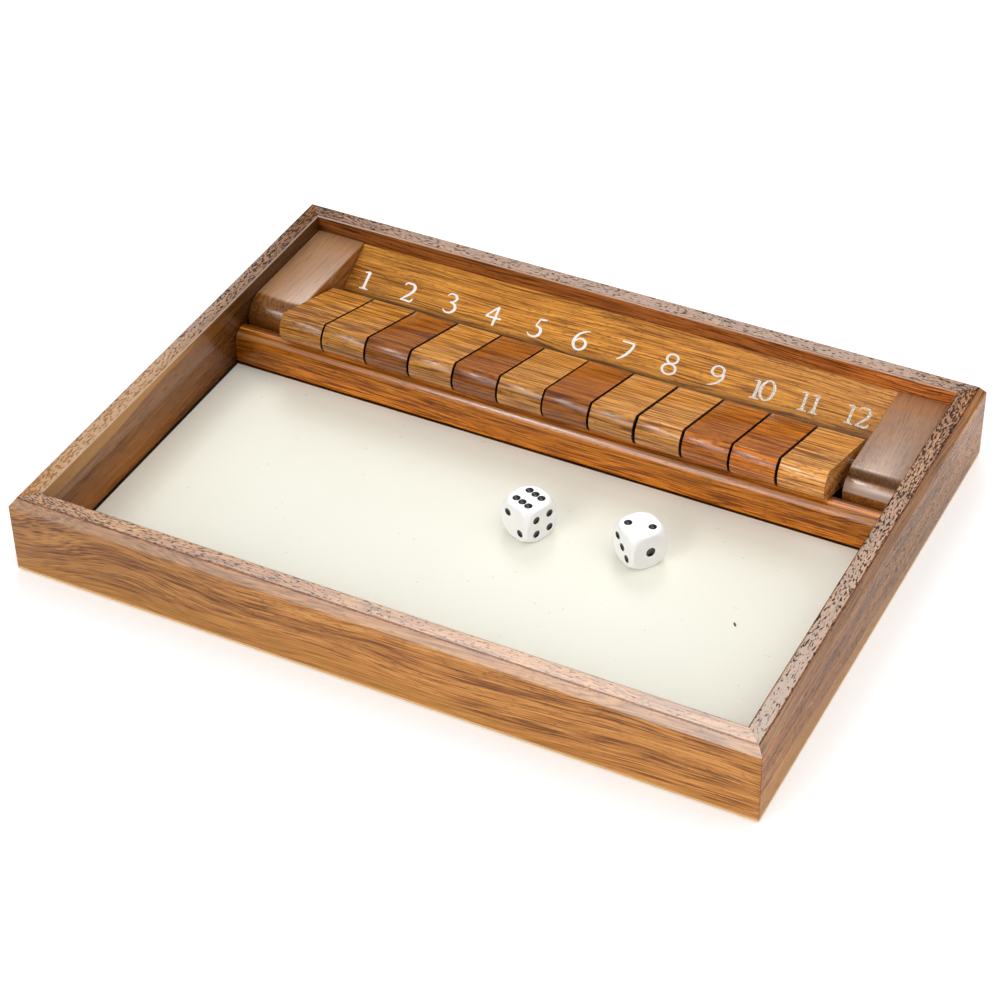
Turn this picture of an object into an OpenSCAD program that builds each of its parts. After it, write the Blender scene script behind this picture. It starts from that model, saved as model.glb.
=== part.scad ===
// Shut the box: a mitred wooden tray with numbered flaps that turn on a rod.
// X runs along the row of flaps, Y from the player to the number board, Z up.
// The origin is the middle of the underside. All sizes are in millimetres.

/* [Box] */
// Outside width of the box
box_w = 350; // [335:1:420]
// Outside depth of the box
box_d = 260; // [220:1:320]
// Height of the walls
box_h = 40; // [36:0.5:50]
// Thickness of the walls
wall_t = 10.75; // [9:0.25:13]
// Width of the slope along the outer top edge
top_slope_w = 3; // [1:0.25:4]
// Height of the slope along the outer top edge
top_slope_h = 4; // [1:0.25:6]
// Radius of the inner top edge
rim_r = 1; // [0.5:0.1:2]
// Width of the chamfer along the outer bottom edge
foot_chamfer = 1.5; // [0.5:0.25:2.5]
// Width of the rebate that takes the base panel
rebate_w = 5; // [3:0.5:6]

/* [Floor] */
// Thickness of the base panel
base_t = 4.8; // [3:0.2:6]
// Thickness of the playing surface
sheet_t = 0.7; // [0.5:0.1:1.5]
// Gap between the playing surface and what stands round it
sheet_gap = 0.9; // [0.3:0.1:1.5]

/* [Rail and end blocks] */
// Width of the half-round rail
rail_w = 12.4; // [10:0.2:14]
// Height of the rail above the base panel
rail_h = 17.9; // [16:0.1:19]
// Height of the end blocks above the base panel
block_h = 27.2; // [24:0.2:30]
// Radius of the round front of the end blocks
block_nose_r = 10; // [6:0.5:14]

/* [Flaps] */
// Number of flaps
flap_count = 12; // [9:1:12]
// Width of one flap
flap_w = 21.9; // [20:0.05:22.4]
// Gap between two flaps
flap_gap = 0.85; // [0.3:0.05:1]
// Free width that is left at the end of the row
row_play = 3.3; // [1:0.1:5]
// Offset of the row's middle from the box's middle
row_x = -0.55; // [-2:0.05:2]
// Thickness of a flap
flap_t = 15.2; // [14:0.1:17]
// Length of a flap from its nose to its heel
flap_len = 51.1; // [46:0.1:60]
// Radius of the flap's round nose
nose_r = 8.9; // [8:0.1:10]
// Distance from the heel to the bore's axis
bore_heel = 7.6; // [6:0.1:10]
// Distance from the underside to the bore's axis
bore_up = 5.3; // [4.5:0.1:7]
// Radius of the heel's edges
heel_edge_r = 1.2; // [0.5:0.1:2]
// How far behind the nose's centre the rail bears
seat_back = 1.8; // [0:0.1:4]

/* [Rod] */
// Diameter of the rod
rod_d = 4; // [3:0.1:5]
// Depth to which the rod enters each end block
rod_seat = 10; // [6:0.5:14]

/* [Number board] */
// Slope of the number board in degrees
board_slope = 30.5; // [26:0.5:34]

/* [Dice] */
// Width of a die
die_w = 18; // [16:0.25:19]
// Radius of the ball that rounds the die's corners
die_ball_r = 12.4; // [11.8:0.1:14]
// Distance between neighbouring pips
pip_pitch = 3.85; // [3.4:0.05:4.2]
// Radius of a pip's rim
pip_r = 1.6; // [1:0.05:1.7]
// Depth of a pip
pip_depth = 0.5; // [0.3:0.05:0.9]

/* [Clearances] */
// Radial clearance of the flaps on the rod
bore_gap = 0.1; // [0.05:0.01:0.1]
// Radial clearance of the rod in the end blocks
rod_fit = 0.05; // [0.02:0.01:0.1]
// Clearance under a flap where it rests on the rail or on the board
rest_gap = 0.3; // [0.2:0.05:0.6]
// Clearance between a shut flap and the back wall
shut_gap = 1.75; // [0.5:0.25:4]
// Clearance round the path of a turning heel
heel_gap = 0.4; // [0.3:0.1:1]
// Depth of the free space below the path of a turning heel
well_gap = 1.2; // [0.6:0.1:4]
// Clearance of the base panel in its rebate
base_fit = 0.1; // [0.05:0.05:0.3]
// Clearance between a die and the playing surface
die_gap = 0.02; // [0.01:0.01:0.1]

/* [Hidden] */
$fn = 96;
BODY_NODES = [
    "frame_front", "frame_back", "frame_left", "frame_right", "base_panel", "playing_surface",
    "front_rail", "end_block_left", "end_block_right", "number_board", "pivot_rod", "die_a", "die_b",
];
FLAP_NODES = [for (n = [1:flap_count]) flap_name(n)];

OAK = "#c98a45";
OAK_DARK = "#8a5326";
WALNUT = "#5a2f17";
DARK_FLAPS = [3, 5, 7, 10, 11];

// How far a cutting shape runs past what it cuts
cut = 1;

// Inside of the walls
inner_w = box_w - 2 * wall_t;
inner_d = box_d - 2 * wall_t;
wall_y = inner_d / 2;
floor_z = base_t + sheet_t;

// Row of flaps, pushed against the left end block
pitch = flap_w + flap_gap;
row_w = flap_count * pitch + row_play;
row_start = row_x - row_w / 2;
row_end = row_x + row_w / 2;
row_left = row_start + flap_gap;

// Flap, measured from its bore
flap_top = flap_t - bore_up;
nose_reach = flap_len - bore_heel - nose_r;
nose_up = nose_r - bore_up;
heel_swing = norm([bore_heel, flap_top]);

// Rod: a shut flap lies on the board with its nose just clear of the back wall
shut_reach = nose_reach * cos(board_slope) + nose_up * sin(board_slope) + nose_r;
rod_y = wall_y - shut_gap - shut_reach;
rod_z = base_t + heel_swing + well_gap;

// Rail: it bears under the noses of the flaps
rail_r = rail_w / 2;
rail_y = rod_y - nose_reach + seat_back;
rail_top = base_t + rail_h;
rail_front = rail_y - rail_r;
rail_back = rail_y + rail_r;

// Tilt at which a flap's underside lies on the rail
rail_to_rod = [rod_y - rail_y, rod_z - rail_top + rail_r];
seat_rise = rail_r + rest_gap + bore_up;
tilt = atan2(rail_to_rod.x, rail_to_rod.y) - acos(seat_rise / norm(rail_to_rod));

// Number board: its slope starts where a turning heel is clear of it
board_drop = flap_top + rest_gap;
board_run = sqrt(pow(heel_swing + heel_gap, 2) - pow(board_drop, 2));
board_foot = [rod_y + board_drop * sin(board_slope), rod_z - board_drop * cos(board_slope)];
board_front = board_foot + board_run * [cos(board_slope), sin(board_slope)];
board_wall_z = board_foot.y + (wall_y - board_foot.x) * tan(board_slope);

// Dice: where each lies, how far it is turned, the numbers on its top, front and
// right, and the turn of the pips on its top
DIE_A_PLACE = [16.7, -13.35];
DIE_A_TURN = -21.5;
DIE_A_FACES = [6, 2, 4];
DIE_A_TOP_TURN = 0;
DIE_B_PLACE = [67.95, -8.55];
DIE_B_TURN = -34.5;
DIE_B_FACES = [2, 3, 1];
DIE_B_TOP_TURN = 90;

// Pips of each number, in steps of the pip pitch
CORNER_PIPS = [[-1, 1], [1, -1]];
OTHER_CORNER_PIPS = [[-1, -1], [1, 1]];
MIDDLE_PIP = [[0, 0]];
SIDE_PIPS = [[0, -1], [0, 1]];
PIPS = [
    [],
    MIDDLE_PIP,
    CORNER_PIPS,
    concat(CORNER_PIPS, MIDDLE_PIP),
    concat(CORNER_PIPS, OTHER_CORNER_PIPS),
    concat(CORNER_PIPS, OTHER_CORNER_PIPS, MIDDLE_PIP),
    concat(CORNER_PIPS, OTHER_CORNER_PIPS, SIDE_PIPS),
];
pip_ball_r = (pow(pip_r, 2) + pow(pip_depth, 2)) / (2 * pip_depth);

function flap_name(n) = str("flap_", n < 10 ? "0" : "", n);
function is_dark(n) = len(search(n, DARK_FLAPS)) > 0;

// Turns an outline in Y and Z into a bar of the given length along X
module bar(length) {
    rotate([90, 0, 90])
        linear_extrude(height = length)
            children();
}

module bar_between(left, right) {
    translate([left, 0, 0])
        bar(right - left)
            children();
}

// Section of a wall: the outer face is at x = 0, the underside at y = 0
module wall_section() {
    difference() {
        polygon([
            [0, foot_chamfer], [foot_chamfer, 0], [wall_t - rebate_w, 0], [wall_t - rebate_w, base_t],
            [wall_t, base_t], [wall_t, box_h], [top_slope_w, box_h], [0, box_h - top_slope_h],
        ]);
        translate([wall_t - rim_r, box_h - rim_r])
            difference() {
                square(rim_r + cut);
                circle(rim_r);
            }
    }
}

// One wall of the box, along X, with a mitre at each end
module wall(length) {
    half = length / 2;
    intersection() {
        bar_between(-half, half)
            wall_section();
        linear_extrude(height = box_h)
            polygon([[-half, 0], [half, 0], [half - wall_t, wall_t], [wall_t - half, wall_t]]);
    }
}

module frame_front() {
    color(OAK)
        translate([0, -box_d / 2, 0])
            wall(box_w);
}

module frame_back() {
    color(OAK)
        translate([0, box_d / 2, 0])
            rotate([0, 0, 180])
                wall(box_w);
}

module frame_left() {
    color(OAK)
        translate([-box_w / 2, 0, 0])
            rotate([0, 0, -90])
                wall(box_d);
}

module frame_right() {
    color(OAK)
        translate([box_w / 2, 0, 0])
            rotate([0, 0, 90])
                wall(box_d);
}

module base_panel() {
    edge = rebate_w - base_fit;
    color(OAK_DARK)
        translate([-inner_w / 2 - edge, -wall_y - edge, 0])
            cube([inner_w + 2 * edge, inner_d + 2 * edge, base_t]);
}

module playing_surface() {
    sheet_w = inner_w - 2 * sheet_gap;
    sheet_d = rail_front + wall_y - 2 * sheet_gap;
    color("ivory")
        translate([-sheet_w / 2, sheet_gap - wall_y, base_t])
            cube([sheet_w, sheet_d, sheet_t]);
}

module front_rail() {
    color(OAK)
        bar_between(-inner_w / 2, inner_w / 2)
            union() {
                translate([rail_front, base_t])
                    square([rail_w, rail_h - rail_r]);
                translate([rail_y, rail_top - rail_r])
                    circle(rail_r);
            }
}

// Block from the rail to the back wall, with a round front
module end_block(left, right) {
    nose_y = rail_back + block_nose_r;
    nose_h = block_h - block_nose_r;
    bar_between(left, right)
        union() {
            translate([rail_back, base_t])
                square([wall_y - rail_back, nose_h]);
            translate([nose_y, base_t])
                square([wall_y - nose_y, block_h]);
            translate([nose_y, base_t + nose_h])
                circle(block_nose_r);
        }
}

module rod_hole(left, right) {
    translate([0, rod_y, rod_z])
        bar_between(left, right)
            circle(rod_d / 2 + rod_fit);
}

module end_block_left() {
    inside = row_start;
    color(OAK)
        difference() {
            end_block(-inner_w / 2, inside);
            rod_hole(inside - rod_seat - rod_fit, inside + cut);
        }
}

module end_block_right() {
    inside = row_end;
    color(OAK)
        difference() {
            end_block(inside, inner_w / 2);
            rod_hole(inside - cut, inside + rod_seat + rod_fit);
        }
}

module number_board() {
    color(OAK_DARK)
        bar_between(row_start, row_end)
            polygon([
                [board_front.x, base_t], [wall_y, base_t],
                [wall_y, board_wall_z], board_front,
            ]);
}

module pivot_rod() {
    color("silver")
        translate([0, rod_y, rod_z])
            bar_between(row_start - rod_seat, row_end + rod_seat)
                circle(rod_d / 2);
}

// Side view of a flap, measured from its bore, with its top along +X
module flap_outline() {
    intersection() {
        union() {
            translate([-nose_reach, nose_up])
                circle(nose_r);
            translate([-nose_reach, -bore_up])
                square([nose_reach + bore_heel - heel_edge_r, flap_t]);
            translate([-nose_reach, heel_edge_r - bore_up])
                square([nose_reach + bore_heel, flap_t - 2 * heel_edge_r]);
            for (edge_y = [heel_edge_r - bore_up, flap_top - heel_edge_r])
                translate([bore_heel - heel_edge_r, edge_y])
                    circle(heel_edge_r);
        }
        translate([-flap_len, flap_top - flap_len])
            square([2 * flap_len, flap_len]);
    }
}

// Flap number n at rest, with its underside on the rail
module flap(n) {
    left = row_left + (n - 1) * pitch;
    color(is_dark(n) ? WALNUT : OAK)
        translate([left, rod_y, rod_z])
            rotate([-tilt, 0, 0])
                bar(flap_w)
                    difference() {
                        flap_outline();
                        circle(rod_d / 2 + bore_gap);
                    }
}

// The dimples of one number, on the face that looks along +Z
module pips(number) {
    for (spot = PIPS[number])
        translate([spot.x * pip_pitch, spot.y * pip_pitch, die_w / 2 + pip_ball_r - pip_depth])
            sphere(pip_ball_r);
}

// A die, given the numbers on its top, front and right; opposite faces make seven
module die(faces, top_turn) {
    difference() {
        intersection() {
            cube(die_w, center = true);
            sphere(die_ball_r);
        }
        rotate([0, 0, top_turn])
            pips(faces[0]);
        rotate([180, 0, 0])
            pips(7 - faces[0]);
        rotate([90, 0, 0])
            pips(faces[1]);
        rotate([-90, 0, 0])
            pips(7 - faces[1]);
        rotate([90, 0, 90])
            pips(faces[2]);
        rotate([90, 0, -90])
            pips(7 - faces[2]);
    }
}

// Stands a die on the playing surface
module on_sheet(place, turn) {
    translate([place.x, place.y, floor_z + die_gap + die_w / 2])
        rotate([0, 0, turn])
            children();
}

module die_a() {
    color("white")
        on_sheet(DIE_A_PLACE, DIE_A_TURN)
            die(DIE_A_FACES, DIE_A_TOP_TURN);
}

module die_b() {
    color("white")
        on_sheet(DIE_B_PLACE, DIE_B_TURN)
            die(DIE_B_FACES, DIE_B_TOP_TURN);
}

frame_front();
frame_back();
frame_left();
frame_right();
base_panel();
playing_surface();
front_rail();
end_block_left();
end_block_right();
number_board();
pivot_rod();
die_a();
die_b();
for (n = [1:flap_count])
    flap(n);
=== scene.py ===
# %% [markdown]
# # Shut the box
#
# A wooden tray with twelve flaps that turn on a rod, a sloped number board behind them,
# a cream playing surface and two dice. The construction comes as a fixed frame of named
# nodes. This script gives it its finish: eased edges, varnished wood with rings, streaks
# and pores, leatherette, painted numerals and moulded dice.

# %% Load the frame
import math

import bpy
from mathutils import Euler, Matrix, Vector


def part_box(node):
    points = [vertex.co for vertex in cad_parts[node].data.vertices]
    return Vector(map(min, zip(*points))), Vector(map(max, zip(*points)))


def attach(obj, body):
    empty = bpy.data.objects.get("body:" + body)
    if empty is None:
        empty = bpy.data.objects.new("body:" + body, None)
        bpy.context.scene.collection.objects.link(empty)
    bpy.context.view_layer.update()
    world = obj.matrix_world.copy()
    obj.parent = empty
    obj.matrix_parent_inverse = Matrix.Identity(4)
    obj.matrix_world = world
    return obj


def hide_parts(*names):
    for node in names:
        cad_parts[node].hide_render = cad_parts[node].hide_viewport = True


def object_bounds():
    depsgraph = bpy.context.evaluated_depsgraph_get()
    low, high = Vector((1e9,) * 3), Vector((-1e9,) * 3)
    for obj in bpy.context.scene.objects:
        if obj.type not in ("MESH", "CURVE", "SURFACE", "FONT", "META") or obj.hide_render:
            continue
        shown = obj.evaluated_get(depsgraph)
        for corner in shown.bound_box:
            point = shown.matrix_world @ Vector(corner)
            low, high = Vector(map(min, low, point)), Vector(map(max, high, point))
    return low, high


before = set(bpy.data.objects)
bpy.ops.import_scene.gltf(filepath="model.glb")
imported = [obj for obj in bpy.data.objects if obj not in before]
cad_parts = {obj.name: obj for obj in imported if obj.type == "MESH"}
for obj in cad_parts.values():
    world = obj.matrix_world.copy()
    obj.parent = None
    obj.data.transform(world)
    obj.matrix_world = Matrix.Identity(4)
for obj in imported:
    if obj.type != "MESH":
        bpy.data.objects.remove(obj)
cad_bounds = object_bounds()
MM = 0.001

# %% [markdown]
# The camera stands in front of the right corner and looks down on the tray through a
# long lens, so that the edges of the box run nearly parallel.

# %% Camera
CAMERA_PLACE = Vector((438.13, -848.90, 786.22)) * MM
CAMERA_TURN = Euler([math.radians(a) for a in (50.783, 0.795, 26.892)])
LENS_MM = 99.558

camera_data = bpy.data.cameras.new("camera")
camera_data.lens = LENS_MM
camera_data.sensor_width = 36.0
camera_data.clip_start = 0.05
camera = bpy.data.objects.new("camera", camera_data)
camera.location = CAMERA_PLACE
camera.rotation_euler = CAMERA_TURN
bpy.context.scene.collection.objects.link(camera)
bpy.context.scene.camera = camera
print("camera height", round(camera.location.z, 3))

# %% [markdown]
# Nodes are added many times below. The first helper makes one, sets its choices, and
# either links each named input to another node's socket or gives it a value. The others
# find the tree they work in from the sockets they are given.

# %% Helpers for shader nodes
def add_node(tree, kind, inputs=None, **choices):
    node = tree.nodes.new(kind)
    for name, value in choices.items():
        setattr(node, name, value)
    for key, value in (inputs or {}).items():
        if isinstance(value, bpy.types.NodeSocket):
            tree.links.new(value, node.inputs[key])
        else:
            node.inputs[key].default_value = value
    return node


def tree_of(*values):
    """The tree of the first socket among the values."""
    return next(v.id_data for v in values if isinstance(v, bpy.types.NodeSocket))


def maths(operation, a, b=0.0, c=0.0):
    tree = tree_of(a, b, c)
    return add_node(tree, "ShaderNodeMath", {0: a, 1: b, 2: c}, operation=operation).outputs[0]


def smooth_step(value, low, high, start=0.0, end=1.0):
    node = add_node(
        tree_of(value), "ShaderNodeMapRange",
        {"Value": value, "From Min": low, "From Max": high, "To Min": start, "To Max": end},
        interpolation_type="SMOOTHSTEP",
    )
    return node.outputs["Result"]


def blend_colour(share, first, second, blend_type="MIX"):
    node = add_node(
        tree_of(share, first, second), "ShaderNodeMix", {0: share, 6: first, 7: second},
        data_type="RGBA", blend_type=blend_type,
    )
    return node.outputs[2]


def vector_maths(operation, a, b=(0.0, 0.0, 0.0)):
    tree = tree_of(a)
    return add_node(tree, "ShaderNodeVectorMath", {0: a, 1: b}, operation=operation).outputs


def noise_at(place, stretch, detail=2.0, roughness=0.5):
    stretched = vector_maths("MULTIPLY", place, stretch)["Vector"]
    noise = add_node(
        tree_of(place), "ShaderNodeTexNoise",
        {"Vector": stretched, "Scale": 1.0, "Detail": detail, "Roughness": roughness},
    )
    return noise.outputs["Fac"]


def grey(value):
    shades = {0: value, 1: value, 2: value}
    return add_node(tree_of(value), "ShaderNodeCombineColor", shades).outputs[0]


def darken(colour, shade):
    return blend_colour(1.0, colour, grey(shade), "MULTIPLY")


def product(first, *others):
    for value in others:
        first = maths("MULTIPLY", first, value)
    return first


def axes(place):
    return add_node(tree_of(place), "ShaderNodeSeparateXYZ", {0: place}).outputs


def scaled(value, factor, plus):
    return maths("MULTIPLY_ADD", value, factor, plus)


def minus(value, less):
    return maths("SUBTRACT", value, less)


# %% [markdown]
# Every piece wears a skin: a material with one Principled node. Patterns in millimetres
# give it colour and roughness, and a Bump node turns a height into small dents.

# %% Helpers for skins
TO_MM = 1000.0
MM_SCALE = (TO_MM, TO_MM, TO_MM)


def millimetres(tree):
    place = add_node(tree, "ShaderNodeTexCoord").outputs["Object"]
    return add_node(tree, "ShaderNodeMapping", {"Vector": place, "Scale": MM_SCALE}).outputs[0]


def new_skin(name):
    material = bpy.data.materials.new(name)
    material.use_nodes = True
    tree = material.node_tree
    return material, tree, tree.nodes["Principled BSDF"]


def connect_skin(skin, colour, roughness, height, distance, strength=1.0):
    """Distance is the depth of the dents in metres."""
    tree = skin.id_data
    bump = add_node(
        tree, "ShaderNodeBump", {"Height": height, "Distance": distance, "Strength": strength},
    )
    tree.links.new(colour, skin.inputs["Base Color"])
    tree.links.new(roughness, skin.inputs["Roughness"])
    tree.links.new(bump.outputs[0], skin.inputs["Normal"])


# %% [markdown]
# The light is a studio's: a soft even glow, a soft box behind the game that lies as a
# pale sheen on every level top, and two in front that lie along the slopes and the round
# noses. They are painted on the world as smooth patches.

# %% World light
def light_patch(direction, turn_deg, height_deg, spread_deg, strength):
    """Turn 0 is straight behind the game, and grows to the left."""
    turn = math.radians(turn_deg)
    height = math.radians(height_deg)
    flat = math.cos(height)
    towards = (-math.sin(turn) * flat, math.cos(turn) * flat, math.sin(height))
    sharpness = 2.0 / math.radians(spread_deg) ** 2
    along = vector_maths("DOT_PRODUCT", direction, towards)["Value"]
    power = product(minus(along, 1.0), sharpness)
    return product(maths("EXPONENT", power), strength)


# turn, height and spread in degrees, and strength
PATCHES = {
    "back box": (24, 47, 10, 7.8),
    "front box": (169, 27, 13, 6.5),
    "high front box": (150, 41, 6, 17.0),
    "overhead glow": (-60, 70, 26, 2.8),
    "left glow": (120, 35, 30, 0.4),
    "right glow": (-95, 25, 40, 0.6),
}
EVEN_GLOW = 0.27

world = bpy.data.worlds.new("studio")
world.use_nodes = True
bpy.context.scene.world = world
sky = world.node_tree
sky.nodes.clear()
sky_direction = add_node(sky, "ShaderNodeTexCoord").outputs["Generated"]
glow = EVEN_GLOW
for patch in PATCHES.values():
    glow = maths("ADD", light_patch(sky_direction, *patch), glow)
background = add_node(sky, "ShaderNodeBackground", {"Strength": glow})
add_node(sky, "ShaderNodeOutputWorld", {"Surface": background.outputs[0]})
bpy.context.scene.view_settings.view_transform = "Standard"
print("light patches:", ", ".join(PATCHES))

# %% [markdown]
# The floor is a wide pale sheet. The camera sees it a little brighter than it is, so it
# turns white while the shadow at the foot of the box stays.

# %% Floor
FLOOR_SIZE = 12.0
FLOOR_COLOUR = (0.86, 0.86, 0.86, 1.0)
FLOOR_LIFT = 0.3

bpy.ops.object.select_all(action="DESELECT")
bpy.ops.mesh.primitive_plane_add(size=FLOOR_SIZE, location=(0.0, 0.0, 0.0))
floor = bpy.context.object
floor.name = "floor"
floor_paint = bpy.data.materials.new("floor_paint")
floor_paint.use_nodes = True
paper = floor_paint.node_tree
paper.nodes.clear()
paper_matt = add_node(paper, "ShaderNodeBsdfDiffuse", {"Color": FLOOR_COLOUR})
camera_ray = add_node(paper, "ShaderNodeLightPath").outputs["Is Camera Ray"]
lift = product(camera_ray, FLOOR_LIFT)
paper_lift = add_node(paper, "ShaderNodeEmission", {"Strength": lift})
paper_sum = add_node(
    paper, "ShaderNodeAddShader", {0: paper_matt.outputs[0], 1: paper_lift.outputs[0]},
)
add_node(paper, "ShaderNodeOutputMaterial", {"Surface": paper_sum.outputs[0]})
floor.data.materials.append(floor_paint)
print("floor:", FLOOR_SIZE, "m wide")

# %% [markdown]
# Every wooden piece is cut from a tree whose rings, streaks and pores run through it as a
# solid pattern, so the figure on a top edge carries on down the face below. X lies along
# the grain, and the heart of the tree on the X axis. Streaks and pores are long along the
# grain and thin outwards, so they follow the rings wherever these bend.

# %% Place in the tree
SWAY_STRETCH = (0.008, 0.03, 0.03)
SWIRL_REACH = 38.0
ROUND_R = 90.0
WOOD_INPUTS = (
    "Ring Width", "Wander", "Ring Contrast", "Streak Contrast", "Pores", "Pits",
    "Swirl Place", "Swirl Size",
)


def group_sockets(tree, colours, numbers, outputs):
    """The inputs are a vector, colours and numbers; the outputs are a colour and numbers."""
    rows = (
        ("INPUT", "Vector", ("Vector",)), ("INPUT", "Color", colours),
        ("INPUT", "Float", numbers), ("OUTPUT", "Color", ("Color",)),
        ("OUTPUT", "Float", outputs),
    )
    for way, kind, names in rows:
        for name in names:
            tree.interface.new_socket(name, in_out=way, socket_type=f"NodeSocket{kind}")
    return tree.nodes.new("NodeGroupInput").outputs


def tree_place(tree, given):
    """Along the grain, out from the heart and round it, in millimetres."""
    place = given["Vector"]
    parts = axes(place)
    flat = vector_maths("MULTIPLY", place, (0.0, 1.0, 1.0))["Vector"]
    outward = vector_maths("LENGTH", flat)["Value"]
    sway = minus(noise_at(place, SWAY_STRETCH), 0.5)
    outward = scaled(sway, given["Wander"], outward)
    from_swirl = minus(parts["X"], given["Swirl Place"])
    fade = product(maths("POWER", from_swirl, 2.0), -1.0 / SWIRL_REACH ** 2)
    swirl = product(maths("EXPONENT", fade), given["Swirl Size"])
    outward = maths("ADD", outward, swirl)
    around = product(maths("ARCTAN2", parts["Z"], parts["Y"]), ROUND_R)
    return add_node(
        tree, "ShaderNodeCombineXYZ", {"X": parts["X"], "Y": outward, "Z": around},
    ).outputs[0], outward


# %% [markdown]
# Rings are noise of the distance from the heart alone. Streaks and fibres are lines along
# the grain, pores are fine dashes, and pits are open pores under the varnish.

# %% Wood group
DARK_AT = 0.15
MIDDLE_AT = 0.5
LIGHT_AT = 0.85
STREAK_STRETCH = (0.014, 1.1, 0.45)
STREAK_DULL = 0.12
FIBRE_STRETCH = (0.05, 1.7, 1.3)
FIBRE_SHARE = 1.5
FIBRE_HEIGHT = 0.03
PORE_STRETCH = (0.33, 1.5, 1.5)
PORE_EDGE = (-0.25, 0.77)
PORE_ZONES = (0.02, 0.12, 0.06)
PORE_BLUR = 0.05
PORE_SHADE = 0.6
PORE_DEPTH = 0.2
PORE_BREAK = 0.25
PIT_STRETCH = (0.45, 1.5, 1.5)
PIT_EDGE = (-0.13, 0.635)
PIT_BLUR = 0.06
FEWEST_PITS = 0.15
HOLLOW_SHADE = 0.65
HOLLOW_DULL = 0.6
WOOD_ROUGHNESS = 0.19


def pore_mask(place, amount):
    edge = scaled(noise_at(place, PORE_ZONES, 1.0), *PORE_EDGE)
    depth = minus(noise_at(place, PORE_STRETCH, 0.0), edge)
    return product(smooth_step(depth, 0.0, PORE_BLUR), amount)


def pit_mask(place, amount):
    depth = minus(noise_at(place, PIT_STRETCH, 1.0, 0.4), scaled(amount, *PIT_EDGE))
    any_here = smooth_step(amount, 0.0, FEWEST_PITS)
    return product(smooth_step(depth, 0.0, PIT_BLUR), any_here)


def build_wood_group():
    tree = bpy.data.node_groups.new("varnished_wood", "ShaderNodeTree")
    given = group_sockets(
        tree, ("Dark", "Middle", "Light"), WOOD_INPUTS, ("Roughness", "Height", "Hollow"),
    )
    place, outward = tree_place(tree, given)
    rings = add_node(
        tree, "ShaderNodeTexNoise",
        {"W": maths("DIVIDE", outward, given["Ring Width"]), "Scale": 1.0,
         "Detail": 2.0, "Roughness": 0.55},
        noise_dimensions="1D",
    ).outputs["Fac"]
    ring_part = product(minus(rings, 0.5), given["Ring Contrast"])
    streaks = noise_at(place, STREAK_STRETCH, 1.0, 0.55)
    fibres = noise_at(place, FIBRE_STRETCH, 0.0)
    lines = scaled(fibres, FIBRE_SHARE, streaks)
    lines = minus(lines, (1.0 + FIBRE_SHARE) / 2.0)
    line_part = product(lines, given["Streak Contrast"])
    tone = maths("ADD", maths("ADD", ring_part, line_part), MIDDLE_AT)
    share = smooth_step(tone, DARK_AT, MIDDLE_AT)
    colour = blend_colour(share, given["Dark"], given["Middle"])
    colour = blend_colour(smooth_step(tone, MIDDLE_AT, LIGHT_AT), colour, given["Light"])

    pores = pore_mask(place, given["Pores"])
    pits = pit_mask(place, given["Pits"])
    hollow = maths("MAXIMUM", product(pores, PORE_SHADE), pits)
    colour = darken(colour, scaled(hollow, -HOLLOW_SHADE, 1.0))
    roughness = scaled(streaks, STREAK_DULL, WOOD_ROUGHNESS)
    roughness = scaled(hollow, HOLLOW_DULL, roughness)
    height = scaled(fibres, FIBRE_HEIGHT, product(pores, -PORE_DEPTH))
    height = minus(height, pits)
    broken = maths("MAXIMUM", product(pores, PORE_BREAK), pits)
    add_node(
        tree, "NodeGroupOutput",
        {"Color": colour, "Roughness": roughness, "Height": height, "Hollow": broken},
    )
    return tree


wood_group = build_wood_group()
print("wood group nodes:", len(wood_group.nodes))

# %% [markdown]
# A board is one material. It says how the piece was cut: which way its grain runs, how
# far and on which side the heart lay, and how much the grain tilts. The middle tone is
# the board's colour, and its dark and light tones are made from it.

# %% Board materials
ALONG_X = 0.0
ALONG_Y = math.pi / 2
PIT_DEPTH = 0.00012
VARNISH_ROUGHNESS = 0.13
WOOD_SPECULAR = 0.25
DARK_TONE = (0.42, 0.85)
LIGHT_TONE = (1.4, 1.12)


def toned(colour, factor=1.0, warmth=1.0):
    """A darker or lighter tone of a wood; warmth under 1 takes blue away."""
    return (
        min(colour[0] * factor, 1.0),
        min(colour[1] * factor * warmth, 1.0),
        min(colour[2] * factor * warmth * warmth, 1.0),
        1.0,
    )


def grain_place(tree, node, grain, heart, tilt):
    """Object coordinates in millimetres, turned and moved to the heart of the tree."""
    low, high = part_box(node)
    centre = (Vector(low) + Vector(high)) * 0.5 * TO_MM
    turn = Euler((0.0, tilt, grain))
    centre.rotate(turn)
    return add_node(
        tree, "ShaderNodeMapping",
        {"Vector": add_node(tree, "ShaderNodeTexCoord").outputs["Object"],
         "Location": Vector(heart) - centre, "Rotation": turn, "Scale": MM_SCALE},
    ).outputs[0]


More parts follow.
